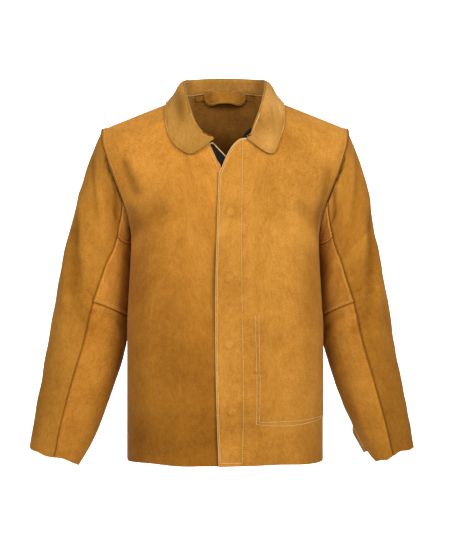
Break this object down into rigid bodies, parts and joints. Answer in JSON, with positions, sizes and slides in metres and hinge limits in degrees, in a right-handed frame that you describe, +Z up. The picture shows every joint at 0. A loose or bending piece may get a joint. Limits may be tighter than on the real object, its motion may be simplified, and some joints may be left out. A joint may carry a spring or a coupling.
{
  "type": "leather welding jacket",
  "caption": "Hip-length split-hide welding jacket with a turned-down collar, a fly front on concealed press studs, long sleeves and an inside hanging loop.",
  "frame": {"origin": "middle of the gap behind the hanging loop inside the back neck, where a hook or peg holds the jacket", "axes": "+X towards the wearer's left, -Y out of the front, +Z up"},
  "size_m": [0.788, 0.2706, 0.794],
  "materials": {
    "hide": "soft napped split hide",
    "collar_hide": "soft napped split hide, paler batch",
    "sleeve_hide": "soft napped split hide",
    "stud_tape": "woven cotton twill",
    "stud_metal": "nickel-plated"
  },
  "bodies": {
    "torso": {"back_panel": "hide", "left_front_upper": "hide", "right_front_upper": "hide", "left_front_side": "hide", "right_front_side": "hide", "collar_stand": "collar_hide", "collar_fall": "collar_hide", "neck_tape": "hide", "hanger_loop": "hide", "pocket_bag_side": "hide"},
    "left_front": {"left_front_flap": "hide", "left_stud_tape": "stud_tape", "stud_sockets": "stud_metal", "pocket_bag_front": "hide"},
    "right_front": {"right_front_flap": "hide", "right_stud_tape": "stud_tape", "right_facing": "hide", "stud_posts": "stud_metal"},
    "left_collar": {"left_collar_tip": "collar_hide"},
    "right_collar": {"right_collar_tip": "collar_hide"},
    "left_sleeve": {"left_sleeve_top_upper": "sleeve_hide", "left_sleeve_under_upper": "sleeve_hide", "left_armpit_gusset": "sleeve_hide"},
    "left_forearm": {"left_sleeve_top_lower": "sleeve_hide", "left_sleeve_under_lower": "sleeve_hide"},
    "right_sleeve": {"right_sleeve_top_upper": "sleeve_hide", "right_sleeve_under_upper": "sleeve_hide", "right_armpit_gusset": "sleeve_hide"},
    "right_forearm": {"right_sleeve_top_lower": "sleeve_hide", "right_sleeve_under_lower": "sleeve_hide"}
  },
  "joints": [
    {"name": "left_front_opens", "type": "hinge", "parent": "torso", "child": "left_front", "pos_m": [0.128, -0.18362, -0.446], "axis": [0, 0, 1], "range_deg": [0, 70]},
    {"name": "right_front_opens", "type": "hinge", "parent": "torso", "child": "right_front", "pos_m": [-0.128, -0.18362, -0.446], "axis": [0, 0, -1], "range_deg": [0, 35]},
    {"name": "left_collar_lifts", "type": "hinge", "parent": "torso", "child": "left_collar", "pos_m": [0.061, -0.14262, -0.052], "axis": [-0.2998, -0.5848, -0.7538], "range_deg": [0, 70]},
    {"name": "right_collar_lifts", "type": "hinge", "parent": "torso", "child": "right_collar", "pos_m": [-0.056, -0.14262, -0.052], "axis": [-0.4572, 0.5452, 0.7027], "range_deg": [0, 70]},
    {"name": "left_sleeve_raises", "type": "hinge", "parent": "torso", "child": "left_sleeve", "pos_m": [0.25, -0.06462, -0.072], "axis": [0, -1, 0], "range_deg": [0, 40]},
    {"name": "right_sleeve_raises", "type": "hinge", "parent": "torso", "child": "right_sleeve", "pos_m": [-0.25, -0.06462, -0.072], "axis": [0, 1, 0], "range_deg": [0, 40]},
    {"name": "left_elbow_bends", "type": "hinge", "parent": "left_sleeve", "child": "left_forearm", "pos_m": [0.2705, -0.12762, -0.427], "axis": [-0.9536, 0, -0.3011], "range_deg": [0, 70]},
    {"name": "right_elbow_bends", "type": "hinge", "parent": "right_sleeve", "child": "right_forearm", "pos_m": [-0.2705, -0.12762, -0.427], "axis": [-0.9536, 0, 0.3011], "range_deg": [0, 70]}
  ],
  "couplings": [
    {"joint": "right_front_opens", "follows": "left_front_opens", "ratio": 0.5}
  ]
}
